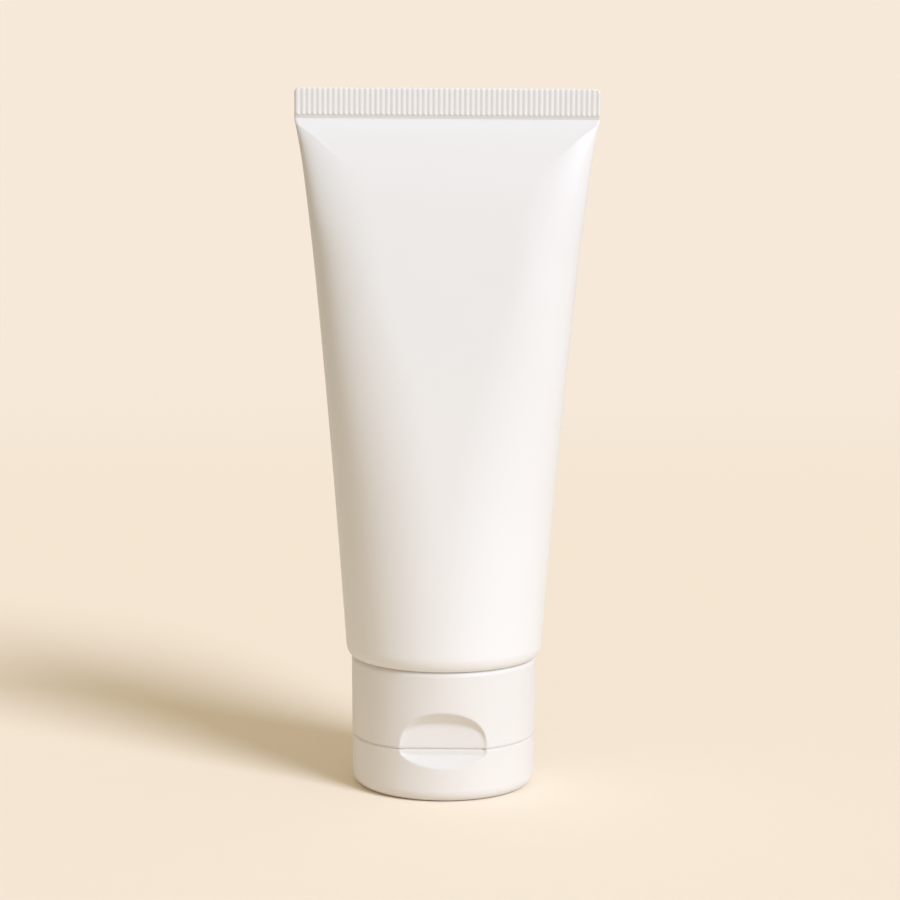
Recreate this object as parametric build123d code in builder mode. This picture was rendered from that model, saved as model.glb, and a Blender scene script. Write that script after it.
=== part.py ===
from build123d import *
import os
from math import pi

# Shaving cream tube: a soft extruded tube that stands on its flip-top cap.
# Millimetres, +Z up. The origin is the centre of the lid's flat face, on which the tube stands.
# +X runs along the crimped end seal, -Y is the thumb recess and +Y the hinge of the flip-top.

os.makedirs("parts", exist_ok=True)

# ---------------------------------------------------------------- tube sleeve
tube_radius = 20.0          # outside of the round end
sleeve_wall = 0.5
lip_radius = 1.8            # sleeve turned in round the moulded shoulder
lip_reach = 0.8             # flat part of the turned-in lip
round_height = 2.5          # the sleeve stays round this far above the lip's underside
taper_height = 106.4        # from the round end up to the seal
seal_height = 6.2
seal_thickness = 0.8        # two walls pressed together, between the ribs
seal_corner = 0.9
rib_count = 58
rib_depth = 0.2
rib_base = 0.75
rib_crest = 0.3
rib_start = 0.9             # plain pressed band below the ribs
even_flare = 0.77           # share of the widening that is even
late_flare = 0.16           # share that grows with the cube of the height
late_power = 3
corner_power = 16           # the rest comes just below the seal's corners
belly_power = 0.5           # how the depth falls away towards the seal
pinch = 0.02                # the walls meet where this share of the round depth is left
section_count = 9
round_handle = 0.5523       # handle length of a cubic curve that draws a quarter circle

# ---------------------------------------------------------------- moulded shoulder and neck
shoulder_wall = 1.2
weld_gap = 0.05
weld_height = 0.5           # straight rim welded inside the sleeve, above the lip's curve
cone_drop = 2.5
neck_radius = 8.5
neck_orifice = 4.0
bead_reach = 0.35           # snap bead round the neck
bead_height = 0.5           # half of the bead's height
bead_above_end = 3.0
lug_count = 4
lug_width = 2.4
lug_height = 5.0
lug_reach = 1.9
lug_root = 0.2              # how far each lug is sunk into the neck

# ---------------------------------------------------------------- flip-top cap
cap_inset = 1.1             # the cap is this much slimmer than the tube
cap_wall = 1.2
lid_height = 10.5
base_height = 16.0
base_draft = 0.14           # taken off the radius over the height of the base
lid_draft = 0.16
lid_floor = 1.4
foot_radius = 2.4
rim_edge = 0.7
seam_edge = 0.25
seat_gap = 0.3              # between parts that are pushed together
latch_gap = 0.26
ring_height = 1.5
spout_tip_radius = 4.2
spout_root_radius = 5.0
spout_length = 5.5
spout_bore = 2.6
plug_depth = 2.0            # how far the lid's plug enters the spout
plug_clearance = 0.08
plug_swing = 0.23           # plug taper per millimetre, so that it leaves the bore on the lid's arc
plug_hollow = 1.3
skirt_height = 9.8          # inner skirt that snaps over the neck
catch_reach = 0.3           # snap bead inside that skirt
snap_gap = 0.1

# ---------------------------------------------------------------- thumb recess
recess_depth = 2.3
recess_width = 17.0         # of the flat back; the walls open at 45 degrees from there
recess_height = 5.4         # of the flat back, above the seam
crescent_height = 1.3       # of the flat back, below the seam
recess_fullness = 0.74      # handle length of the curves that draw the arch
crescent_fullness = 0.95
recess_round = 1.0          # hollow corner between the flat back and the walls
crescent_round = 0.4
recess_draw = 4.0           # the form is drawn this far out of its flat back
wall_spread = 0.42          # for walls at 45 degrees, an arch grows by this share of the thickness moved back
cut_past = 1.0              # cutting forms run this far past the face that they open

# ---------------------------------------------------------------- hinge
pocket_width = 14.0
pocket_reach = 3.6          # above and below the seam
pocket_depth = 0.9
hinge_offset = 0.25         # the film's fold line stands this far outside the cap
bar_width = 6.4
bar_slope = 1.2
bar_gap = 0.25              # from each hinge bar to the seam
film_thickness = 0.24
film_reach = 1.3
strap_thickness = 0.35
strap_gap = 0.25
strap_waist = 1.8
strap_foot = 1.6

# ---------------------------------------------------------------- cream
fill_height = 92.0          # above the round end
fill_gap = 0.5
fill_sections = 5           # the fill is a plain form of flat bands
fill_sides = 32

# ---------------------------------------------------------------- derived places
seam_z = lid_height
cap_top_z = lid_height + base_height
round_top_z = cap_top_z + round_height
seal_z = round_top_z + taper_height
inner_radius = tube_radius - sleeve_wall
seal_width = pi * inner_radius
cap_radius = tube_radius - cap_inset
seam_outer = cap_radius - base_draft
foot_outer = seam_outer - lid_draft
lip_inner = tube_radius - lip_radius - lip_reach
deck_z = seam_z + cap_wall
neck_end_z = deck_z + seat_gap
cone_z = cap_top_z - cone_drop
skirt_inner = neck_radius + bead_reach + snap_gap
skirt_outer = skirt_inner + cap_wall
bead_z = neck_end_z + bead_above_end
catch_z = bead_z + 2 * bead_height + snap_gap
ring_outer = seam_outer - cap_wall - latch_gap
ring_z = seam_z - ring_height
spout_z = seam_z - spout_length
pocket_radius = seam_outer - pocket_depth
hinge_y = seam_outer + hinge_offset
bar_face = hinge_y - film_thickness / 2
recess_y = -(seam_outer - recess_depth)


# ---------------------------------------------------------------- shared forms
def sleeve_half_width(height):
    """Half of the sleeve's width along the seal, at a height above its round end."""
    share = max(0.0, height / taper_height)
    corner = (1 - even_flare - late_flare) * share**corner_power
    spread = even_flare * share + late_flare * share**late_power + corner
    return tube_radius + (seal_width / 2 - tube_radius) * spread


def sleeve_half_depth(height):
    """Half of the sleeve's depth across the seal, at a height above its round end."""
    left = min(1.0, 1.0 - height / taper_height)
    return sleeve_wall + inner_radius * left**belly_power


def taper_heights(bottom, top, count):
    """Heights above the round end, closer together where the sleeve flattens fastest."""
    least = (1 - top / taper_height) ** belly_power
    shares = [1 - (1 - least) * step / (count - 1) for step in range(count)]
    heights = [taper_height * (1 - share ** (1 / belly_power)) for share in shares]
    return [bottom] + [height for height in heights if height > bottom]


def sleeve_outline(height, inset):
    """Four curves round the sleeve: a circle at the round end, ever flatter faces towards the seal."""
    width = sleeve_half_width(height) - inset
    depth = sleeve_half_depth(height) - inset
    side = round_handle * depth
    face = width - (1 - round_handle) * depth
    corners = [(width, 0), (0, depth), (-width, 0), (0, -depth)]
    leave = [(width, side), (-face, depth), (-width, -side), (face, -depth)]
    arrive = [(face, depth), (-width, side), (-face, -depth), (width, -side)]
    for start in range(4):
        Bezier(corners[start], leave[start], arrive[start], corners[(start + 1) % 4])


def sleeve_form(inset, bottom_z, top):
    """Solid form of the sleeve from a level near its round end up to a height above that end."""
    with BuildPart() as form:
        for height in taper_heights(bottom_z - round_top_z, top, section_count):
            with BuildSketch(Plane.XY.offset(round_top_z + height)):
                with BuildLine():
                    sleeve_outline(height, inset)
                make_face()
        loft()
    return form.part


def thumb_form(side, height, fullness, grow):
    """Arched form with a flat back whose walls open at 45 degrees towards the front.

    Side is 1 for the recess above the seam and -1 for the crescent below it. Fullness squares the arch. Grow
    moves the form back by the thickness of the wall behind it.
    """
    back_y = recess_y + grow
    open_z = seam_z - side * cut_past
    with BuildPart() as form:
        for reach in (0, recess_draw):
            width = recess_width / 2 + grow * wall_spread + reach
            rise = side * (height + grow * wall_spread + reach)
            with BuildSketch(Plane.XZ.offset(reach - back_y)):
                with BuildLine():
                    Polyline((-width, seam_z), (-width, open_z), (width, open_z), (width, seam_z))
                    Bezier((width, seam_z), (width, seam_z + fullness * rise),
                           (fullness * width, seam_z + rise), (0, seam_z + rise))
                    Bezier((0, seam_z + rise), (-fullness * width, seam_z + rise),
                           (-width, seam_z + fullness * rise), (-width, seam_z))
                make_face()
        loft(ruled=True)
    return form.part


def thumb_cut(side, height, fullness, corner):
    """The form that opens the cap: its back edge is rounded, and a bevel breaks the edge at the seam."""
    with BuildPart() as cut:
        add(thumb_form(side, height, fullness, 0))
        back = cut.edges().filter_by_position(Axis.Y, recess_y, recess_y)
        fillet(back.sort_by(Axis.Z, reverse=side < 0)[1:], corner)
        with BuildSketch(Plane.YZ):
            Polygon((recess_y, seam_z + side * seam_edge), (recess_y + seam_edge, seam_z),
                    (recess_y, seam_z), align=None)
        extrude(amount=recess_width / 2, both=True)
    return cut.part


def hinge_pocket(grow):
    """Shallow pocket across the seam at the back, which holds the hinge inside the cap's outline."""
    with BuildPart() as form:
        with BuildSketch(Plane.XY.offset(seam_z - pocket_reach - grow)):
            Rectangle(pocket_width + 2 * grow, tube_radius, align=(Align.CENTER, Align.MIN))
            Circle(pocket_radius - grow, mode=Mode.SUBTRACT)
        extrude(amount=2 * (pocket_reach + grow))
    return form.part


def hinge_bar(low_z, high_z, fold_z):
    """Wedge on the pocket's floor that carries the film, sloped away from the fold line."""
    far_z = low_z if fold_z == high_z else high_z
    slope_z = far_z + bar_slope if fold_z == high_z else far_z - bar_slope
    root_y = pocket_radius - cap_wall / 2
    with BuildPart() as form:
        with BuildSketch(Plane.YZ):
            with BuildLine():
                Polyline((root_y, fold_z), (bar_face, fold_z), (bar_face, slope_z), (pocket_radius, far_z),
                         (root_y, far_z), close=True)
            make_face()
        extrude(amount=bar_width / 2, both=True)
    return form.part


# ---------------------------------------------------------------- tube sleeve
# Pressed end seal: a flat band with vertical ribs on both faces and rounded top corners.
with BuildPart() as end_seal:
    with BuildSketch(Plane.XY.offset(seal_z)):
        Rectangle(seal_width, seal_thickness)
    extrude(amount=seal_height)
    with BuildSketch(Plane.XY.offset(seal_z + rib_start)):
        with GridLocations(seal_width / rib_count, 0, rib_count, 1):
            Polygon((-rib_base / 2, -seal_thickness / 2), (-rib_crest / 2, -seal_thickness / 2 - rib_depth),
                    (rib_crest / 2, -seal_thickness / 2 - rib_depth), (rib_base / 2, -seal_thickness / 2),
                    (rib_base / 2, seal_thickness / 2), (rib_crest / 2, seal_thickness / 2 + rib_depth),
                    (-rib_crest / 2, seal_thickness / 2 + rib_depth), (-rib_base / 2, seal_thickness / 2),
                    align=None)
    extrude(amount=seal_height - rib_start)
    with BuildSketch(Plane.XZ.offset(-tube_radius)) as outline:
        with Locations((0, seal_z + seal_height / 2)):
            Rectangle(seal_width, seal_height)
        fillet(outline.vertices().group_by(Axis.Z)[-1], seal_corner)
    extrude(amount=2 * tube_radius, mode=Mode.INTERSECT)

with BuildPart() as tube_sleeve:
    add(sleeve_form(0, cap_top_z, taper_height))
    fillet(tube_sleeve.edges().group_by(Axis.Z)[0], lip_radius)

tube_cavity_top = taper_height * (1 - pinch ** (1 / belly_power))
with BuildPart() as tube_cavity:
    add(sleeve_form(sleeve_wall, cap_top_z + sleeve_wall, tube_cavity_top))
    fillet(tube_cavity.edges().group_by(Axis.Z)[0], lip_radius - sleeve_wall)

with tube_sleeve:
    add(tube_cavity.part, mode=Mode.SUBTRACT)
    with BuildSketch(Plane.XY.offset(cap_top_z)):
        Circle(lip_inner)
    extrude(amount=sleeve_wall, mode=Mode.SUBTRACT)
    add(end_seal.part)
tube_sleeve.part.label = "tube_sleeve"
export_step(tube_sleeve.part, "parts/tube_sleeve.step")

# ---------------------------------------------------------------- moulded shoulder
rim_outer = inner_radius - weld_gap
rim_top_z = cap_top_z + lip_radius + weld_height
rim_centre = (tube_radius - lip_radius, cap_top_z + lip_radius)
rim_curve = lip_radius - sleeve_wall - weld_gap
ledge_z = cap_top_z + sleeve_wall + weld_gap
boss_outer = lip_inner - weld_gap
with BuildPart() as tube_shoulder:
    with BuildSketch(Plane.XZ):
        with BuildLine():
            rim = Line((rim_outer, rim_top_z), (rim_outer, rim_centre[1]))
            turn = RadiusArc(rim @ 1, (rim_centre[0], ledge_z), rim_curve)
            Polyline(turn @ 1, (boss_outer, ledge_z), (boss_outer, cap_top_z), (neck_radius, cone_z),
                     (neck_radius, neck_end_z), (neck_orifice, neck_end_z),
                     (neck_orifice, neck_end_z + shoulder_wall),
                     (neck_radius - shoulder_wall, neck_end_z + shoulder_wall),
                     (neck_radius - shoulder_wall, cone_z + shoulder_wall),
                     (rim_outer - shoulder_wall, rim_top_z), rim @ 0)
        make_face()
    revolve(axis=Axis.Z)
    with BuildSketch(Plane.XZ):
        Polygon((neck_radius, bead_z - bead_height), (neck_radius + bead_reach, bead_z),
                (neck_radius, bead_z + bead_height), align=None)
    revolve(axis=Axis.Z)
    with BuildSketch(Plane.XY.offset(cone_z - lug_height)):
        with PolarLocations(neck_radius + lug_reach / 2, lug_count, start_angle=45):
            Rectangle(lug_reach + 2 * lug_root, lug_width)
    extrude(amount=lug_height + shoulder_wall / 2)
tube_shoulder.part.label = "tube_shoulder"
export_step(tube_shoulder.part, "parts/tube_shoulder.step")

# ---------------------------------------------------------------- cap base
with BuildPart() as base_cavity:
    with BuildSketch(Plane.XZ):
        with BuildLine():
            Polyline((0, deck_z), (seam_outer - cap_wall, deck_z), (cap_radius - cap_wall, cap_top_z),
                     (0, cap_top_z), close=True)
        make_face()
    revolve(axis=Axis.Z)
    add(thumb_form(1, recess_height, recess_fullness, cap_wall), mode=Mode.SUBTRACT)
    add(hinge_pocket(cap_wall), mode=Mode.SUBTRACT)

with BuildPart() as latch_ring:
    with BuildSketch(Plane.XY.offset(ring_z)):
        Circle(ring_outer)
        Circle(ring_outer - cap_wall, mode=Mode.SUBTRACT)
        with Locations((0, recess_y + cap_wall + latch_gap)):
            Rectangle(2 * tube_radius, tube_radius, align=(Align.CENTER, Align.MAX), mode=Mode.SUBTRACT)
    extrude(amount=ring_height)
    add(hinge_pocket(cap_wall + latch_gap), mode=Mode.SUBTRACT)

with BuildPart() as cap_base:
    with BuildSketch(Plane.XZ):
        with BuildLine():
            Polyline((0, seam_z), (seam_outer, seam_z), (cap_radius, cap_top_z), (0, cap_top_z), close=True)
        make_face()
    revolve(axis=Axis.Z)
    chamfer(cap_base.edges().group_by(Axis.Z)[-1], rim_edge)
    chamfer(cap_base.edges().group_by(Axis.Z)[0], seam_edge)
    add(base_cavity.part, mode=Mode.SUBTRACT)
    add(latch_ring.part)
    with BuildSketch(Plane.XZ):
        with BuildLine():
            Polyline((0, spout_z), (spout_tip_radius, spout_z), (spout_root_radius, seam_z), (0, seam_z),
                     close=True)
        make_face()
    revolve(axis=Axis.Z)
    with BuildSketch(Plane.XY.offset(deck_z)):
        Circle(skirt_outer)
        Circle(skirt_inner, mode=Mode.SUBTRACT)
    extrude(amount=skirt_height)
    with BuildSketch(Plane.XZ):
        Polygon((skirt_inner, catch_z - bead_height), (skirt_inner - catch_reach, catch_z),
                (skirt_inner, catch_z + bead_height), align=None)
    revolve(axis=Axis.Z)
    with BuildSketch(Plane.XY.offset(spout_z)):
        Circle(spout_bore)
    extrude(amount=spout_length + cap_wall, mode=Mode.SUBTRACT)
    with BuildSketch(Plane.XY.offset(cone_z - lug_height - seat_gap)):
        with PolarLocations(skirt_inner + cap_wall / 2, lug_count, start_angle=45):
            Rectangle(2 * cap_wall, lug_width + 2 * seat_gap)
    extrude(amount=lug_height, mode=Mode.SUBTRACT)
    add(thumb_cut(1, recess_height, recess_fullness, recess_round), mode=Mode.SUBTRACT)
    add(hinge_pocket(0), mode=Mode.SUBTRACT)
    add(hinge_bar(seam_z + bar_gap, seam_z + pocket_reach, seam_z + bar_gap))
cap_base.part.label = "cap_base"
export_step(cap_base.part, "parts/cap_base.step")

# ---------------------------------------------------------------- cap lid
with BuildPart() as lid_cavity:
    with BuildSketch(Plane.XZ):
        with BuildLine():
            Polyline((0, lid_floor), (foot_outer - cap_wall, lid_floor), (seam_outer - cap_wall, seam_z),
                     (0, seam_z), close=True)
        make_face()
    revolve(axis=Axis.Z)
    chamfer(lid_cavity.edges().group_by(Axis.Z)[0], foot_radius - cap_wall / 2)
    add(thumb_form(-1, crescent_height, crescent_fullness, cap_wall), mode=Mode.SUBTRACT)
    add(hinge_pocket(cap_wall), mode=Mode.SUBTRACT)

plug_root = spout_bore - plug_clearance
plug_tip = plug_root - plug_depth * plug_swing
plug_z = spout_z + plug_depth
with BuildPart() as cap_lid:
    with BuildSketch(Plane.XZ):
        with BuildLine():
            Polyline((0, 0), (foot_outer, 0), (seam_outer, seam_z), (0, seam_z), close=True)
        make_face()
    revolve(axis=Axis.Z)
    fillet(cap_lid.edges().group_by(Axis.Z)[0], foot_radius)
    chamfer(cap_lid.edges().group_by(Axis.Z)[-1], seam_edge)
    add(lid_cavity.part, mode=Mode.SUBTRACT)
    with BuildSketch(Plane.XZ):
        with BuildLine():
            Polyline((plug_hollow, lid_floor), (spout_tip_radius - cap_wall / 2, lid_floor),
                     (spout_tip_radius - cap_wall / 2, spout_z - seat_gap), (plug_root, spout_z - seat_gap),
                     (plug_root, spout_z), (plug_tip, plug_z), (plug_hollow, plug_z), close=True)
        make_face()
    revolve(axis=Axis.Z)
    add(thumb_cut(-1, crescent_height, crescent_fullness, crescent_round), mode=Mode.SUBTRACT)
    add(hinge_pocket(0), mode=Mode.SUBTRACT)
    add(hinge_bar(seam_z - pocket_reach, seam_z - bar_gap, seam_z - bar_gap))
cap_lid.part.label = "cap_lid"
export_step(cap_lid.part, "parts/cap_lid.step")

# ---------------------------------------------------------------- living hinge
with BuildPart() as hinge_web:
    with BuildSketch(Plane.XZ.offset(-bar_face)):
        with Locations((0, seam_z)):
            Rectangle(bar_width, 2 * film_reach)
    extrude(amount=-film_thickness)
hinge_web.part.label = "hinge_web"
export_step(hinge_web.part, "parts/hinge_web.step")

# Two butterfly straps beside the film: narrow near the fold, with wide feet on the pocket's ends.
strap_inner = bar_width / 2 + strap_gap
strap_outer = pocket_width / 2 - strap_gap
with BuildPart() as spring_straps:
    with BuildSketch(Plane.XY.offset(seam_z - pocket_reach)):
        Circle(pocket_radius + strap_gap + strap_thickness)
        Circle(pocket_radius + strap_gap, mode=Mode.SUBTRACT)
    extrude(amount=2 * pocket_reach)
    with BuildSketch(Plane.XZ):
        for side in (-1, 1):
            Polygon((side * strap_inner, seam_z - strap_waist / 2), (side * strap_inner, seam_z + strap_waist / 2),
                    (side * (strap_outer - strap_foot), seam_z + pocket_reach),
                    (side * strap_outer, seam_z + pocket_reach), (side * strap_outer, seam_z - pocket_reach),
                    (side * (strap_outer - strap_foot), seam_z - pocket_reach), align=None)
    extrude(amount=-tube_radius, mode=Mode.INTERSECT)
spring_straps.part.label = "spring_straps"
export_step(spring_straps.part, "parts/spring_straps.step")

# ---------------------------------------------------------------- cream
neck_fill = neck_radius - shoulder_wall - fill_gap
fill_z = rim_top_z + fill_gap
with BuildPart() as shaving_cream:
    for height in taper_heights(fill_z - round_top_z, fill_height, fill_sections):
        with BuildLine(mode=Mode.PRIVATE) as rim:
            sleeve_outline(height, sleeve_wall + fill_gap)
        with BuildSketch(Plane.XY.offset(round_top_z + height)):
            Polygon(*[rim.line @ (side / fill_sides) for side in range(fill_sides)], align=None)
    loft(ruled=True)
    with BuildSketch(Plane.XZ):
        with BuildLine():
            Polyline((0, neck_end_z + shoulder_wall + fill_gap), (neck_fill, neck_end_z + shoulder_wall + fill_gap),
                     (neck_fill, cone_z + shoulder_wall + fill_gap),
                     (rim_outer - shoulder_wall - fill_gap, fill_z), (0, fill_z), close=True)
        make_face()
    revolve(axis=Axis.Z)
shaving_cream.part.label = "shaving_cream"
export_step(shaving_cream.part, "parts/shaving_cream.step")
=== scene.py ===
import math
import bpy
import numpy as np
from bpy.props import FloatProperty, FloatVectorProperty, IntProperty, PointerProperty
from mathutils import Euler, Matrix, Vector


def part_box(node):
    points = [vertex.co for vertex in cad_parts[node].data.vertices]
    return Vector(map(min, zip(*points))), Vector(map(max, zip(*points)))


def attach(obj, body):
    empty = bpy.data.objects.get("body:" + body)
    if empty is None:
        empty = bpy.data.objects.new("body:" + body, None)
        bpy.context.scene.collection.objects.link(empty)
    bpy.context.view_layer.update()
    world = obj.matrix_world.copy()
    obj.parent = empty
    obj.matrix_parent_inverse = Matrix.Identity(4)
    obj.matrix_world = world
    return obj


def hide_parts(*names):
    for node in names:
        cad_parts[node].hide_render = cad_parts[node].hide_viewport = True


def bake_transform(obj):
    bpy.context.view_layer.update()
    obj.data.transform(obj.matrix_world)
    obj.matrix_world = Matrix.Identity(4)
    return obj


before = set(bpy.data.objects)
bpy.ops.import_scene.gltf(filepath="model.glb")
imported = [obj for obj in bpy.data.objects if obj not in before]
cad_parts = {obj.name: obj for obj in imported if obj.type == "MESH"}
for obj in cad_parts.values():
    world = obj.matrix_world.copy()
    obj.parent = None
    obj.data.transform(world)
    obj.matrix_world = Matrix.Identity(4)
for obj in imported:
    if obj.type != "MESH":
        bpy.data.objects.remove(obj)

bl_info = {
    "name": "Shaving cream tube",
    "version": (1, 0, 0),
    "blender": (4, 5, 0),
    "location": "3D View > Sidebar > Tube",
    "description": "Squeeze tube on its flip-top cap, with a ribbed end seal and a living hinge",
    "category": "Object",
}

MM = 0.001
SLEEVE_LOW, SLEEVE_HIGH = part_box("tube_sleeve")
FILM_LOW, FILM_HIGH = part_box("hinge_web")
STRAP_LOW, STRAP_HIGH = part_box("spring_straps")
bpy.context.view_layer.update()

SLEEVE_FINISH = "satin_extruded_polyethylene"
CAP_FINISH = "matt_moulded_polypropylene"
HEAD_FINISH = "moulded_polyethylene"
CREAM_FINISH = "whipped_cream"
PLASTIC_IOR = 1.5
ROUGHNESS_DRIFT = 0.03


# ------------------------------------------------------------------ helpers
def linear(code):
    """Linear red, green and blue of an sRGB hex code, by the sRGB transfer curve."""
    parts = np.array([int(code[at:at + 2], 16) / 255 for at in (0, 2, 4)])
    bent = np.where(parts <= 0.04045, parts / 12.92, ((parts + 0.055) / 1.055) ** 2.4)
    return tuple(float(part) for part in bent)


def add_node(tree, kind, inputs=(), **settings):
    """Add a node, set its attributes, and set or link its inputs by name or index."""
    node = tree.nodes.new(kind)
    for name, value in settings.items():
        setattr(node, name, value)
    for name, value in dict(inputs).items():
        if isinstance(value, bpy.types.NodeSocket):
            tree.links.new(value, node.inputs[name])
        else:
            node.inputs[name].default_value = value
    return node


def new_material(name):
    """Empty node material and its node tree."""
    material = bpy.data.materials.new(name)
    material.use_nodes = True
    material.node_tree.nodes.clear()
    return material, material.node_tree


def moulded_skin(name, colour, drift, roughness, grain_mm, cloud_mm, relief_mm, edge_mm, glow):
    """Plastic whose colour and gloss drift over the cloud size, with a fine grain of the given relief.

    The colour drifts to drift times itself, and the roughness by a little either way. Object coordinates
    are metres, so a noise scale is one over the wanted size in metres. Edges look rounded over edge_mm,
    and glow is the share of light that wanders about 1.5 mm through the milky plastic.
    """
    material, tree = new_material(name)
    second = tuple(part * drift for part in colour)
    place = add_node(tree, "ShaderNodeTexCoord").outputs["Object"]
    cloud = add_node(tree, "ShaderNodeTexNoise",
                     {"Vector": place, "Scale": 1 / (cloud_mm * MM), "Detail": 3.0, "Roughness": 0.5})
    tint = add_node(tree, "ShaderNodeMix",
                    {"Factor": cloud.outputs["Fac"], "A": (*colour, 1), "B": (*second, 1)},
                    data_type="RGBA")
    gloss = add_node(tree, "ShaderNodeMapRange",
                     {"Value": cloud.outputs["Fac"], "To Min": roughness - ROUGHNESS_DRIFT,
                      "To Max": roughness + ROUGHNESS_DRIFT})
    grain = add_node(tree, "ShaderNodeTexNoise",
                     {"Vector": place, "Scale": 1 / (grain_mm * MM), "Detail": 2.0, "Roughness": 0.6})
    soft_edge = add_node(tree, "ShaderNodeBevel", {"Radius": edge_mm * MM}, samples=6)
    relief = add_node(tree, "ShaderNodeBump",
                      {"Height": grain.outputs["Fac"], "Distance": relief_mm * MM, "Strength": 1.0,
                       "Normal": soft_edge.outputs["Normal"]})
    skin = add_node(tree, "ShaderNodeBsdfPrincipled",
                    {"Base Color": tint.outputs["Result"], "Roughness": gloss.outputs["Result"],
                     "Normal": relief.outputs["Normal"], "IOR": PLASTIC_IOR, "Subsurface Weight": glow,
                     "Subsurface Radius": (1.0, 0.9, 0.8), "Subsurface Scale": 1.5 * MM})
    add_node(tree, "ShaderNodeOutputMaterial", {"Surface": skin.outputs["BSDF"]})


def dress(name, material):
    """Give a carried node's object a material."""
    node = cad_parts[name]
    if not node.material_slots:
        node.data.materials.append(material)
    for slot in node.material_slots:
        slot.material = material


def surface(name, points, faces, material, smooth=False):
    """Object of a mesh with one material, linked to the scene."""
    mesh = bpy.data.meshes.new(name)
    mesh.from_pydata(points.reshape(-1, 3), [], faces)
    mesh.validate()
    mesh.polygons.foreach_set("use_smooth", np.full(len(mesh.polygons), smooth))
    mesh.materials.append(material)
    made = bpy.data.objects.new(name, mesh)
    bpy.context.scene.collection.objects.link(made)
    return made


def band_faces(index):
    """Quads between neighbouring rows of a grid of point numbers whose columns go round."""
    right = np.roll(index, -1, axis=1)
    return np.stack([index[:-1], right[:-1], right[1:], index[1:]], axis=-1).reshape(-1, 4).tolist()


def ring_mesh(name, grid, material):
    """Smooth closed surface of a grid of points, with rows up and columns round.

    The ends are zipped: column i joins column count - i, which closes a flat end without a pole.
    """
    rows, columns = grid.shape[:2]
    index = np.arange(rows * columns).reshape(rows, columns)
    faces = band_faces(index)
    near = np.arange(1, columns // 2 - 1)
    zipped = np.stack([near, near + 1, columns - near - 1, columns - near], axis=-1)
    tips = np.array([[0, 1, columns - 1], [columns // 2 - 1, columns // 2, columns // 2 + 1]])
    for patch in (zipped, tips):
        faces += (patch + index[-1, 0]).tolist()
        faces += (patch[:, ::-1] + index[0, 0]).tolist()
    return surface(name, grid, faces, material, smooth=True)


def thick_sheet(name, front, back, material):
    """Closed plate between two grids of points that share their rows and columns."""
    rows, columns = front.shape[:2]
    ring = np.concatenate([front, back[:, ::-1]], axis=1)
    index = np.arange(rows * 2 * columns).reshape(rows, 2 * columns)
    near = np.arange(columns - 1)
    end = np.stack([near, near + 1, 2 * columns - near - 2, 2 * columns - near - 1], axis=-1)
    ends = (end[:, ::-1] + index[0, 0]).tolist() + (end + index[-1, 0]).tolist()
    return surface(name, ring, band_faces(index) + ends, material)


def at_levels(ring_x, ring_y, level):
    """Grid of points from outlines, one per row, at the level of each row."""
    return np.stack([ring_x, ring_y, np.broadcast_to(level[:, None], ring_x.shape)], axis=-1)


def blend_over(value, start, end):
    """0 before start, 1 after end, and an S-curve between them."""
    share = np.clip((value - start) / (end - start), 0, 1)
    return share * share * (3 - 2 * share)


# ------------------------------------------------------------------ sizes and colours
class TubeSizes(bpy.types.PropertyGroup):
    """Sizes of the sleeve, its end seal and the hinge."""

    radius: FloatProperty(name="Radius", description="Outside radius of the round end",
                          default=(SLEEVE_HIGH.y - SLEEVE_LOW.y) / 2, unit="LENGTH")
    lip_low: FloatProperty(name="Lip level", description="Height of the underside of the turned-in lip",
                           default=SLEEVE_LOW.z, unit="LENGTH")
    wall: FloatProperty(name="Wall", description="Thickness of the sleeve",
                        default=0.5 * MM, unit="LENGTH")
    lip_height: FloatProperty(name="Lip height", description="Height of the rounding at the lip",
                              default=2.8 * MM, unit="LENGTH")
    lip_reach: FloatProperty(name="Lip rounding", description="How far the rounding comes in at the lip",
                             default=1.8 * MM, unit="LENGTH")
    lip_flat: FloatProperty(name="Lip flat", description="Width of the flat part of the lip",
                            default=0.8 * MM, unit="LENGTH")
    round_level: FloatProperty(name="Round level", description="Height up to which the sleeve is round",
                               default=29.0 * MM, unit="LENGTH")
    press_level: FloatProperty(name="Press level", description="Height at which the walls meet",
                               default=135.5 * MM, unit="LENGTH")
    press_depth: FloatProperty(name="Pressed thickness", description="Thickness of the pressed band",
                               default=0.44 * MM, unit="LENGTH")
    seal_depth: FloatProperty(name="Seal thickness", description="Thickness of the seal between ribs",
                              default=0.8 * MM, unit="LENGTH")
    seal_half: FloatProperty(name="Seal half width", description="Half of the seal's width",
                             default=(SLEEVE_HIGH.x - SLEEVE_LOW.x) / 2, unit="LENGTH")
    even_flare: FloatProperty(name="Even flare", description="Part of the widening that is even",
                              default=8.17 * MM, unit="LENGTH")
    late_flare: FloatProperty(name="Late flare", description="Widening that grows with the cube",
                              default=1.71 * MM, unit="LENGTH")
    corner_flare: FloatProperty(name="Corner flare", description="Widening that comes at the corners",
                                default=0.82 * MM, unit="LENGTH")
    belly: FloatProperty(name="Belly", description="Power by which the depth falls to the seal",
                         default=0.485)
    rib_level: FloatProperty(name="Rib level", description="Height of the ribs' lower ends",
                             default=136.12 * MM, unit="LENGTH")
    rib_count: IntProperty(name="Ribs", description="Number of ribs on each face of the seal", default=58)
    rib_depth: FloatProperty(name="Rib depth", description="Height of a rib above its groove",
                             default=0.125 * MM, unit="LENGTH")
    corner: FloatProperty(name="Corner", description="Radius of the seal's top corners",
                          default=1.15 * MM, unit="LENGTH")
    strap: FloatProperty(name="Strap", description="Thickness of the spring straps",
                         default=0.35 * MM, unit="LENGTH")


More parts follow.
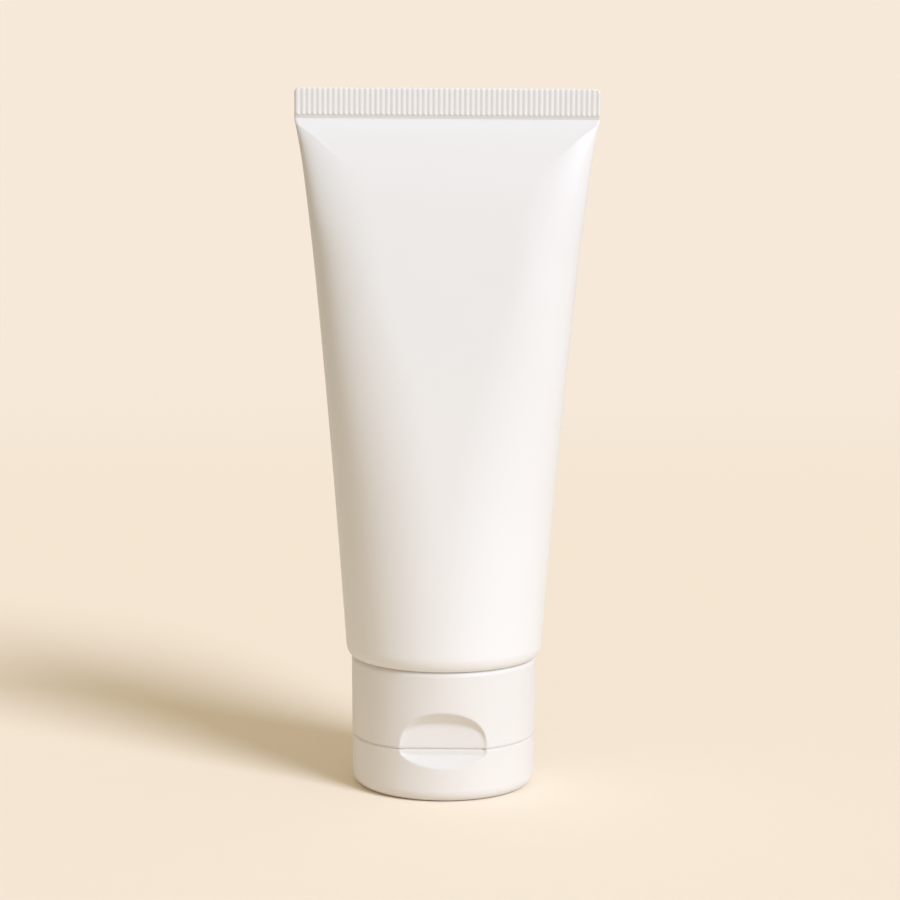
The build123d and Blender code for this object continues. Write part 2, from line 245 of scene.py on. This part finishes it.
class TubeColours(bpy.types.PropertyGroup):
    """Colours of the plastics, the cream and the set."""

    sleeve: FloatVectorProperty(name="Sleeve", description="Colour of the polyethylene sleeve",
                                default=linear("E8E6E4"), subtype="COLOR", size=3)
    cap: FloatVectorProperty(name="Cap", description="Colour of the polypropylene cap",
                             default=linear("E1DEDB"), subtype="COLOR", size=3)
    cream: FloatVectorProperty(name="Cream", description="Colour of the shaving cream",
                               default=linear("F8F8F6"), subtype="COLOR", size=3)
    floor: FloatVectorProperty(name="Floor", description="Colour of the paper floor",
                               default=linear("F9ECDB"), subtype="COLOR", size=3)
    backdrop: FloatVectorProperty(name="Backdrop", description="Colour behind the floor",
                                  default=linear("F7E9D9"), subtype="COLOR", size=3)
    fill: FloatVectorProperty(name="Fill light", description="Light from the room, even from all sides",
                              default=(0.574, 0.510, 0.387), subtype="COLOR", size=3, max=2)
    key: FloatVectorProperty(name="Key light", description="Colour of the large soft lamp",
                             default=(0.741, 0.825, 1.0), subtype="COLOR", size=3)


# ------------------------------------------------------------------ sleeve
# How the outline changes up the taper. A share is 0 where the sleeve stops being round and 1 at the
# pressed band, and a range is the two shares between which a change comes in.
CORNER_POWER = 16                        # of the widening that comes at the corners
TOE = 1.4 * MM                           # over which the walls part from the pressed band
PINCH, PINCH_REACH = 0.36, 6 * MM        # share taken off the depth at the seal, and how it dies out
ROUND_POWER = 2                          # crown and nose of an ellipse
FACET_CROWN = 0.5                        # taken off the crown, for the flat facets at the corners
FACET_RANGE = (0.90, 0.955)
SIDE_NOSE, SIDE_RANGE = 0.9, (0.2, 0.6)  # added to the nose, for fuller sides
TOP_NOSE, TOP_RANGE = 1.6, (0.72, 0.87)  # added again towards the seal
PLAIN_NOSE = 2.05                        # at which the sides' reach keeps the girth
TUCK = 0.14                              # share taken off the reach above the round end
TUCK_RANGE, TUCK_END = (0.25, 0.6), (0.95, 1.0)
BAND_TUCK = 0.2                          # share taken off the reach around BAND_SHARE
BAND_SHARE, BAND_SPREAD = 0.72, 0.15
CREASE_HEIGHT, CREASE_WIDTH = 0.08 * MM, 0.38 * MM
CREASE_RANGE, CREASE_END = (0.90, 0.945), (0.985, 1.0)
ROUND_SHARE = 0.002                      # rows below this share stay round
FULL = 0.9999                            # share of the half width that a round row's side reaches
# Fineness of the surface.
TAPER_ROWS, TAPER_CROWDING = 150, 1.9    # the rows crowd towards the seal by this power
LIP_ROWS = 14
INSIDE_STEP, INSIDE_ROOM = 5, 1.3        # every fifth row, where half the depth is this many walls
QUARTER_COLUMNS = 110
QUARTER_STEPS = 900
HALVINGS = 26
LEAST_REACH, MOST_REACH = 0.02, 0.999    # of the half width, between which the sides' reach is sought
BAND_LAP = 0.1 * MM                      # the sleeve runs this far up into the seal


def half_width(level, sizes):
    """Half width: the round radius, plus an even, a cubed and a corner share of the climb.

    The corner share grows with the climb to the power CORNER_POWER.
    """
    climb = np.clip((level - sizes.round_level) / (sizes.press_level - sizes.round_level), -1, 1)
    at_corner = sizes.corner_flare * np.maximum(climb, 0) ** CORNER_POWER
    spread = sizes.even_flare * climb + sizes.late_flare * climb**3 + at_corner
    return np.minimum(sizes.radius + spread, sizes.seal_half)


def half_depth(level, sizes):
    """Half depth: half the pressed band, plus a power of the distance that is left to the seal.

    The distance left is cubed over the sum of its square and the toe's, so the walls leave the pressed
    band smoothly, and the depth is pinched near the seal by a share that dies out as an exponential.
    """
    length = sizes.press_level - sizes.round_level
    left = np.clip(sizes.press_level - level, 0, length)
    soft = left**3 / (left**2 + TOE**2)
    pinch = 1 - PINCH * np.exp(-left / PINCH_REACH)
    band = sizes.press_depth / 2
    return band + (sizes.radius - band) * (soft / length) ** sizes.belly * pinch


def quarter(width, depth, reach, crown, nose, columns):
    """Quarter outlines, one per row, from the side to the middle of the face, in equal steps.

    At a distance from the side, the depth is (1 - (1 - distance / reach) ** crown) ** (1 / nose) of the
    half depth, and it stays full past the reach. A crown of 2 and a nose of 2 make a quarter ellipse. The
    lengths of the outlines come third.
    """
    step = np.linspace(0, 1, QUARTER_STEPS)
    away = width[:, None] * step**2
    left = np.maximum(0, 1 - away / reach[:, None])
    x = width[:, None] - away
    y = depth[:, None] * (1 - left ** crown[:, None]) ** (1 / nose[:, None])
    pieces = np.hypot(np.diff(x), np.diff(y))
    run = np.concatenate([np.zeros((len(width), 1)), np.cumsum(pieces, axis=1)], axis=1)
    total = run[:, -1]
    line = 2.0 * np.arange(len(width))[:, None]
    along = (run / total[:, None] + line).ravel()
    want = (np.linspace(0, 1, columns + 1) + line).ravel()
    shape = (len(width), columns + 1)
    even_x = np.interp(want, along, x.ravel()).reshape(shape)
    even_y = np.interp(want, along, y.ravel()).reshape(shape)
    return even_x, even_y, total


def sleeve_reach(width, depth, crown, nose, girth):
    """Reach of the rounded sides at which a quarter outline is a quarter of the girth, by halving."""
    low, high = LEAST_REACH * width, MOST_REACH * width
    for _ in range(HALVINGS):
        middle = (low + high) / 2
        # Only the length is used here, so a few columns do.
        longer = quarter(width, depth, middle, crown, nose, 4)[2] > girth / 4
        low, high = np.where(longer, middle, low), np.where(longer, high, middle)
    return (low + high) / 2


def sleeve_grid(sizes):
    """Closed wall of the sleeve: down the inside, round the turned-in lip, up the outside, into the seal.

    Each row is one outline. The reach of its sides is where a plain outline keeps the girth of the round
    end, as a sheet's does. Then the sides are made fuller, which makes the outline up to about 5% longer.
    Near the seal the sides turn to flat facets at the corners, with a fine crease along their edge.
    """
    climb = 1 - (1 - np.linspace(0, 1, TAPER_ROWS)) ** TAPER_CROWDING
    lip_top = sizes.lip_low + sizes.lip_height
    rise = lip_top + (sizes.press_level - lip_top) * climb
    turn = np.linspace(0, np.pi / 2, LIP_ROWS)[::-1]
    lip_flat = sizes.radius - sizes.lip_reach - sizes.lip_flat
    inside = rise[half_depth(rise, sizes) > INSIDE_ROOM * sizes.wall][::-INSIDE_STEP]
    hem_turn = turn[::-1]
    top = half_width(np.array([lip_top]), sizes)[0]
    outer_lip = top - sizes.lip_reach * (1 - np.cos(turn))
    outer_lip_level = lip_top - sizes.lip_height * np.sin(turn)
    inner_lip = top - sizes.wall - (sizes.lip_reach - sizes.wall) * (1 - np.cos(hem_turn))
    inner_lip_level = lip_top - (sizes.lip_height - sizes.wall) * np.sin(hem_turn)
    level = np.concatenate([inside, inner_lip_level[1:], [sizes.lip_low + sizes.wall, sizes.lip_low],
                            outer_lip_level, rise[1:], [BAND_LAP + sizes.press_level]])
    inset = np.concatenate([np.full(len(inside), sizes.wall), np.zeros(len(level) - len(inside))])
    width = half_width(level, sizes)
    depth = half_depth(level, sizes)
    hem = slice(len(inside), len(inside) + len(inner_lip) + 1 + len(outer_lip))
    width[hem] = np.concatenate([inner_lip[1:], [lip_flat, lip_flat], outer_lip])
    depth[hem] = width[hem]
    share = (level - sizes.round_level) / (sizes.press_level - sizes.round_level)
    share[hem] = 0

    crown = ROUND_POWER - FACET_CROWN * blend_over(share, *FACET_RANGE)
    nose = ROUND_POWER + SIDE_NOSE * blend_over(share, *SIDE_RANGE)
    nose = nose + TOP_NOSE * blend_over(share, *TOP_RANGE)
    girth = 2 * np.pi * sizes.radius * np.ones(len(level))
    plain = np.full(len(level), PLAIN_NOSE)
    reach = np.where(share > ROUND_SHARE, sleeve_reach(width, depth, crown, plain, girth), FULL * width)
    reach = reach * (1 - TUCK * blend_over(share, *TUCK_RANGE) * (1 - blend_over(share, *TUCK_END)))
    reach = reach * (1 - BAND_TUCK * np.exp(-(((share - BAND_SHARE) / BAND_SPREAD) ** 2)))
    wide, deep = width - inset, depth - inset
    x, y, _ = quarter(wide, deep, np.minimum(reach, FULL * wide), crown, nose, QUARTER_COLUMNS)
    crease = CREASE_HEIGHT * blend_over(share, *CREASE_RANGE) * (1 - blend_over(share, *CREASE_END))
    y = y + crease[:, None] * np.exp(-(((wide - reach)[:, None] - x) / CREASE_WIDTH) ** 2)

    ring_x = np.concatenate([x[:, :-1], -x[:, :0:-1], -x[:, :-1], x[:, :0:-1]], axis=1)
    ring_y = np.concatenate([y[:, :-1], y[:, :0:-1], -y[:, :-1], -y[:, :0:-1]], axis=1)
    return at_levels(ring_x, ring_y, level)


class TUBE_OT_sleeve(bpy.types.Operator):
    """Build the extruded sleeve, from its turned-in lip to the pressed band below the ribs."""

    bl_idname = "tube.sleeve"
    bl_label = "Sleeve"

    def execute(self, context):
        sizes = context.scene.tube_sizes
        sleeve = ring_mesh("sleeve", sleeve_grid(sizes), bpy.data.materials[SLEEVE_FINISH])
        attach(sleeve, "tube")
        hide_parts("tube_sleeve")
        return {"FINISHED"}


# ------------------------------------------------------------------ end seal
RIB_COLUMNS = 12                         # columns of the surface on one rib
SLOPE_ROWS, EDGE_ROWS, SWELL_ROWS = 9, 7, 7
PLAIN_ROWS, CORNER_ROWS = 4, 8
RIB_POWER = 0.7                          # below one, so ribs are round and grooves narrow
RIB_END = 0.3 * MM                       # height of the quarter circle that ends a rib
RIB_SHIFT = 0.16 * MM                    # the first rib is this much wider, the last one as much narrower
SWELL = 0.5                              # share by which a rib swells near its lower end
SWELL_LEVEL, SWELL_SPREAD = 0.35 * MM, 0.3 * MM
SWELL_HEIGHT = 0.9 * MM                  # with fine rows
TOP_EDGE = 0.35 * MM                     # rounding of the top edge and of the two ends
CORNER_BAND = 1.2 * MM                   # columns this near to an end close up round the corner
SEAL_LAP = 0.05 * MM                     # the seal starts this far down in the sleeve
SLOPE_START, SLOPE_END = 0.1 * MM, 0.05 * MM
SKIN = 0.01 * MM                         # the seal's faces lie this far outside the sleeve's band
LEAST = 0.02                             # share of the depth that an edge keeps


def seal_grid(sizes):
    """Pressed seal with ribs: half the seal's thickness plus the rib depth times a raised cosine.

    The raised cosine has a power below one. The faces slope in to the thin pressed band below the ribs,
    the ribs swell and end in a quarter circle there, and the top edge, the two ends and the top corners
    are rounded.
    """
    top = SLEEVE_HIGH.z
    pitch = 2 * sizes.seal_half / sizes.rib_count
    line = np.linspace(1, -1, sizes.rib_count * RIB_COLUMNS + 1) * sizes.seal_half
    quarter_turn = np.linspace(0, np.pi / 2, EDGE_ROWS)
    low = np.linspace(sizes.press_level - SEAL_LAP, sizes.rib_level, SLOPE_ROWS)
    foot = sizes.rib_level + RIB_END * (1 - np.cos(quarter_turn))
    swell = np.linspace(foot[-1], foot[-1] + SWELL_HEIGHT, SWELL_ROWS)[1:]
    crest = top - TOP_EDGE * (1 - np.sin(quarter_turn))
    plain = np.concatenate([np.linspace(swell[-1], top - sizes.corner, PLAIN_ROWS)[1:-1],
                            np.linspace(top - sizes.corner, crest[0], CORNER_ROWS)[:-1]])
    level = np.concatenate([low, foot[1:], swell, plain, crest])

    in_corner = np.maximum(0, level - top + sizes.corner)
    side = sizes.corner - np.sqrt(np.maximum(0, sizes.corner**2 - in_corner ** 2))
    outer = sizes.seal_half - CORNER_BAND
    squeeze = (sizes.seal_half - side - outer) / (sizes.seal_half - outer)
    squeezed = np.sign(line) * (outer + (np.abs(line) - outer) * squeeze[:, None])
    x = np.where(np.abs(line) > outer, squeezed, line)

    from_end = x + sizes.seal_half
    turns = np.where(from_end < pitch + RIB_SHIFT, from_end / (pitch + RIB_SHIFT),
                     (from_end - RIB_SHIFT) / pitch)
    ridge = (0.5 - 0.5 * np.cos(2 * np.pi * turns)) ** RIB_POWER
    above = level - sizes.rib_level
    grow = np.sqrt(np.maximum(0, 1 - np.maximum(0, 1 - above / RIB_END) ** 2))
    grow = grow * (1 + SWELL * np.exp(-(((above - SWELL_LEVEL) / SWELL_SPREAD) ** 2)))
    slope = blend_over(level, sizes.press_level + SLOPE_START, sizes.rib_level + SLOPE_END)
    half = SKIN + (sizes.press_depth + (sizes.seal_depth - sizes.press_depth) * slope) / 2
    fall = np.sqrt(np.maximum(0.0, 1 - np.maximum(0, (level - top + TOP_EDGE) / TOP_EDGE) ** 2))
    limit = (sizes.seal_half - side)[:, None]
    past = np.maximum(0, (np.abs(x) - limit + TOP_EDGE) / TOP_EDGE)
    tip = np.sqrt(np.maximum(0, 1 - past ** 2))
    relief = sizes.rib_depth * ridge * grow[:, None]
    y = (half[:, None] + relief) * np.maximum(fall, LEAST)[:, None] * np.maximum(tip, LEAST)

    ring_x = np.concatenate([x[:, :-1], x[:, :0:-1]], axis=1)
    ring_y = np.concatenate([y[:, :-1], -y[:, :0:-1]], axis=1)
    return at_levels(ring_x, ring_y, level)


class TUBE_OT_end_seal(bpy.types.Operator):
    """Build the pressed end seal with its ribs."""

    bl_idname = "tube.end_seal"
    bl_label = "End seal"

    def execute(self, context):
        sizes = context.scene.tube_sizes
        seal = ring_mesh("end_seal", seal_grid(sizes), bpy.data.materials[SLEEVE_FINISH])
        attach(seal, "tube")
        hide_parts("tube_sleeve")
        return {"FINISHED"}


# ------------------------------------------------------------------ finishes
class TUBE_OT_finishes(bpy.types.Operator):
    """Make the plastics and the cream.

    The real grain of a die or a mould is a few hundredths of a millimetre wide. It is drawn ten times as
    coarse, so that it shows, and just deep enough to break up the highlights. The clouds are as wide as the
    slow changes in a wall's thickness.
    """

    bl_idname = "tube.finishes"
    bl_label = "Finishes"

    def execute(self, context):
        colours = context.scene.tube_colours
        # Low-density polyethylene drawn through a die: waxy and satin, with a broad soft highlight.
        moulded_skin(SLEEVE_FINISH, tuple(colours.sleeve), drift=0.985, roughness=0.44, grain_mm=0.5,
                     cloud_mm=9.0, relief_mm=0.004, edge_mm=0.12, glow=0.08)
        # Polypropylene moulded against spark-eroded steel: matt, with edges that catch a soft light.
        moulded_skin(CAP_FINISH, tuple(colours.cap), drift=0.985, roughness=0.46, grain_mm=0.4,
                     cloud_mm=6.0, relief_mm=0.005, edge_mm=0.7, glow=0.08)
        # High-density polyethylene as moulded: a little glossier, and seen only when the lid is open.
        moulded_skin(HEAD_FINISH, tuple(colours.cap), drift=0.97, roughness=0.42, grain_mm=0.6,
                     cloud_mm=6.0, relief_mm=0.004, edge_mm=0.15, glow=0.05)
        # Soap and water whipped to a cream: fine bubbles, a soft sheen, and lit from within.
        moulded_skin(CREAM_FINISH, tuple(colours.cream), drift=0.97, roughness=0.35, grain_mm=0.8,
                     cloud_mm=2.5, relief_mm=0.05, edge_mm=0.5, glow=0.4)
        return {"FINISHED"}


class TUBE_OT_cap(bpy.types.Operator):
    """Finish the two halves of the flip-top cap."""

    bl_idname = "tube.cap"
    bl_label = "Cap"

    def execute(self, context):
        dress("cap_base", bpy.data.materials[CAP_FINISH])
        dress("cap_lid", bpy.data.materials[CAP_FINISH])
        return {"FINISHED"}


class TUBE_OT_filling(bpy.types.Operator):
    """Finish the moulded shoulder and the cream inside."""

    bl_idname = "tube.filling"
    bl_label = "Shoulder and cream"

    def execute(self, context):
        dress("tube_shoulder", bpy.data.materials[HEAD_FINISH])
        dress("shaving_cream", bpy.data.materials[CREAM_FINISH])
        return {"FINISHED"}


# ------------------------------------------------------------------ hinge
FILM_ROWS, STRAP_ROWS = 33, 41           # fine along the height, so that they can bend
SHEET_COLUMNS = 9
STRAP_WAIST = 0.9 * MM                   # half the height of a strap's narrow middle
STRAP_FOOT = 1.6 * MM                    # width of a strap at its ends
STRAP_INNER = 3.45 * MM                  # from the middle of the hinge to a strap's inner edge


def film_grids():
    """Two flat grids a film's thickness apart."""
    level, across = np.meshgrid(np.linspace(FILM_LOW.z, FILM_HIGH.z, FILM_ROWS),
                                np.linspace(FILM_HIGH.x, FILM_LOW.x, SHEET_COLUMNS), indexing="ij")
    out = np.stack([across, np.full_like(across, FILM_HIGH.y), level], axis=-1)
    inner = np.stack([across, np.full_like(across, FILM_LOW.y), level], axis=-1)
    return out, inner


def strap_grids(sizes, side):
    """Butterfly strap on a cylinder, whose inner edge runs out in straight lines from the waist."""
    middle = (STRAP_LOW.z + STRAP_HIGH.z) / 2
    level = np.linspace(STRAP_LOW.z, STRAP_HIGH.z, STRAP_ROWS)[:, None]
    outer_x = STRAP_HIGH.x
    past_waist = np.maximum(0, np.abs(level - middle) - STRAP_WAIST)
    out = past_waist / (STRAP_HIGH.z - middle - STRAP_WAIST)
    inner = STRAP_INNER + out * (outer_x - STRAP_FOOT - STRAP_INNER)
    x = inner + (outer_x - inner) * np.linspace(0, 1, SHEET_COLUMNS)[None, :]
    level = np.broadcast_to(level, x.shape)
    round_out = math.hypot(STRAP_HIGH.y, STRAP_INNER)
    grids = []
    for radius in (round_out, round_out - sizes.strap):
        grids.append(np.stack([side * x, np.sqrt(radius**2 - x**2), level], axis=-1))
    return grids if side < 0 else [grid[:, ::-1] for grid in grids]


class TUBE_OT_hinge(bpy.types.Operator):
    """Build the hinge film and the two spring straps, which bend as the lid opens."""

    bl_idname = "tube.hinge"
    bl_label = "Hinge"

    def execute(self, context):
        sizes = context.scene.tube_sizes
        plastic = bpy.data.materials[CAP_FINISH]
        film = thick_sheet("hinge_film", *film_grids(), plastic)
        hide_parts("hinge_web")
        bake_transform(film)
        for side, name in ((1, "strap_right"), (-1, "strap_left")):
            strap = thick_sheet(name, *strap_grids(sizes, side), plastic)
            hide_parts("spring_straps")
            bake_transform(strap)
        return {"FINISHED"}


# ------------------------------------------------------------------ stage
FLOOR_HALF = 20.0                        # metres from the middle of the floor to its edges
FIBRE, TONE_DRIFT = 6 * MM, 0.985        # size and depth of the clouds in the card's tone
SWEEP_START, SWEEP_END = 0.3, 1.0        # metres behind the tube where the card turns into the backdrop
CARD_CENTRE = (0.14, -0.22, 0)           # middle of the part of the card that throws light back
CARD_START, CARD_END = 0.6 * 0.42, 1.4 * 0.42    # metres from there over which that light ends
DIM = linear("3F3F3F")                   # grey of the room past the card
KEY_STRENGTH, KEY_SPREAD = 2.81, 22      # watts per square metre; degrees that the soft lamp spans
KEY_RISE, KEY_SWING = 36.5, 43.5         # degrees above the floor, and to the right of the front
LENS, SENSOR = 96, 36                    # millimetres
CAMERA_PLACE = (0.98 * MM, -485 * MM, 126.7 * MM)
CAMERA_DOWN, CAMERA_ROLL = 6.82, 0.39    # degrees


def card_material(colours):
    """Pale uncoated card: dead matt, with a faint cloudiness and no gloss at a flat view."""
    card, tree = new_material("uncoated_card")
    place = add_node(tree, "ShaderNodeTexCoord").outputs["Object"]
    fibre = add_node(tree, "ShaderNodeTexNoise", {"Vector": place, "Scale": 1 / FIBRE, "Detail": 4.0})
    tone = add_node(tree, "ShaderNodeMix",
                    {"Factor": fibre.outputs["Fac"], "A": (*colours.floor, 1),
                     "B": (*[part * TONE_DRIFT for part in colours.floor], 1)}, data_type="RGBA")
    paper = add_node(tree, "ShaderNodeBsdfDiffuse", {"Color": tone.outputs["Result"]})
    # Far behind the tube, what the camera sees of the card turns into the backdrop, as a seamless sweep.
    ray = add_node(tree, "ShaderNodeLightPath")
    spot = add_node(tree, "ShaderNodeSeparateXYZ", {"Vector": place})
    sweep = add_node(tree, "ShaderNodeMapRange",
                     {"Value": spot.outputs["Y"], "From Min": SWEEP_START, "From Max": SWEEP_END,
                      "To Max": ray.outputs["Is Camera Ray"]}, interpolation_type="SMOOTHSTEP")
    # The card ends in a dim room, so it throws less light at the top of the tube than at its foot.
    middle = add_node(tree, "ShaderNodeVectorMath", {0: place, 1: CARD_CENTRE}, operation="SUBTRACT")
    away = add_node(tree, "ShaderNodeVectorMath", {0: middle.outputs["Vector"]}, operation="LENGTH")
    ends = add_node(tree, "ShaderNodeMapRange",
                    {"Value": away.outputs["Value"], "From Min": CARD_START, "From Max": CARD_END,
                     "To Max": ray.outputs["Is Diffuse Ray"]}, interpolation_type="SMOOTHSTEP")
    dim = add_node(tree, "ShaderNodeBsdfDiffuse", {"Color": (*DIM, 1)})
    paper = add_node(tree, "ShaderNodeMixShader",
                     {0: ends.outputs["Result"], 1: paper.outputs["BSDF"], 2: dim.outputs["BSDF"]})
    haze = add_node(tree, "ShaderNodeEmission", {"Color": (*colours.backdrop, 1), "Strength": 1.0})
    paper = add_node(tree, "ShaderNodeMixShader",
                     {0: sweep.outputs["Result"], 1: paper.outputs["Shader"], 2: haze.outputs["Emission"]})
    add_node(tree, "ShaderNodeOutputMaterial", {"Surface": paper.outputs["Shader"]})
    return card


def room_light(colours):
    """World that lights with the fill, and shows the backdrop to the eye and in reflections."""
    world = bpy.data.worlds.new("room")
    world.use_nodes = True
    sky = world.node_tree
    sky.nodes.clear()
    ray = add_node(sky, "ShaderNodeLightPath")
    seen = add_node(sky, "ShaderNodeMath",
                    {0: ray.outputs["Is Camera Ray"], 1: ray.outputs["Is Glossy Ray"]},
                    operation="MAXIMUM")
    seen = add_node(sky, "ShaderNodeMath",
                    {0: seen.outputs[0], 1: ray.outputs["Is Transmission Ray"]},
                    operation="MAXIMUM")
    room = add_node(sky, "ShaderNodeMix",
                    {"Factor": seen.outputs[0], "A": (*colours.fill, 1), "B": (*colours.backdrop, 1)},
                    data_type="RGBA")
    shine = add_node(sky, "ShaderNodeBackground", {"Color": room.outputs["Result"], "Strength": 1.0})
    add_node(sky, "ShaderNodeOutputWorld", {"Surface": shine.outputs["Background"]})
    return world


class TUBE_OT_stage(bpy.types.Operator):
    """Lay the paper floor and set the room light, the soft key lamp and the camera."""

    bl_idname = "tube.stage"
    bl_label = "Stage"

    def execute(self, context):
        scene = context.scene
        colours = scene.tube_colours
        corners = FLOOR_HALF * np.array([[-1, -1, 0], [1, -1, 0], [1, 1, 0], [-1, 1, 0]])
        floor = surface("floor", corners, [(0, 1, 2, 3)], card_material(colours))
        scene.world = room_light(colours)

        lamp = bpy.data.lights.new("key", "SUN")
        lamp.energy = KEY_STRENGTH
        lamp.color = tuple(colours.key)
        lamp.angle = math.radians(KEY_SPREAD)
        key = bpy.data.objects.new("key", lamp)
        rise, swing = math.radians(KEY_RISE), math.radians(KEY_SWING)
        key.rotation_euler = Euler((math.pi / 2 - rise, 0, swing))
        key.location = (math.sin(swing) * math.cos(rise), -math.cos(swing) * math.cos(rise),
                        math.sin(rise))
        scene.collection.objects.link(key)

        lens = bpy.data.cameras.new("camera")
        lens.lens = LENS
        lens.sensor_width = SENSOR
        camera = bpy.data.objects.new("camera", lens)
        pitch, roll = math.radians(90 - CAMERA_DOWN), math.radians(CAMERA_ROLL)
        camera.matrix_world = (Matrix.Translation(CAMERA_PLACE)
                               @ Matrix.Rotation(pitch, 4, "X") @ Matrix.Rotation(roll, 4, "Z"))
        scene.collection.objects.link(camera)
        scene.camera = camera
        scene.view_settings.view_transform = "Standard"
        return {"FINISHED"}


# ------------------------------------------------------------------ panel
class TUBE_PT_panel(bpy.types.Panel):
    """Sidebar panel with the sizes, the colours and one button for each group."""

    bl_label = "Shaving cream tube"
    bl_idname = "TUBE_PT_panel"
    bl_space_type = "VIEW_3D"
    bl_region_type = "UI"
    bl_category = "Tube"

    def draw(self, context):
        for operator in OPERATORS:
            self.layout.operator(operator.bl_idname)
        for group in (context.scene.tube_sizes, context.scene.tube_colours):
            box = self.layout.box()
            for name in group.__annotations__:
                box.prop(group, name)


OPERATORS = (TUBE_OT_stage, TUBE_OT_finishes, TUBE_OT_sleeve, TUBE_OT_end_seal, TUBE_OT_cap,
             TUBE_OT_hinge, TUBE_OT_filling)
CLASSES = (TubeSizes, TubeColours, *OPERATORS, TUBE_PT_panel)


def register():
    """Register the classes and give the scene its sizes and colours."""
    for group in CLASSES:
        bpy.utils.register_class(group)
    bpy.types.Scene.tube_sizes = PointerProperty(type=TubeSizes)
    bpy.types.Scene.tube_colours = PointerProperty(type=TubeColours)


def unregister():
    """Take back what register did."""
    del bpy.types.Scene.tube_colours
    del bpy.types.Scene.tube_sizes
    for group in reversed(CLASSES):
        bpy.utils.unregister_class(group)


def main():
    """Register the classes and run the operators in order."""
    register()
    for operator in OPERATORS:
        group, name = operator.bl_idname.split(".")
        getattr(getattr(bpy.ops, group), name)()


if __name__ == "__main__":
    main()
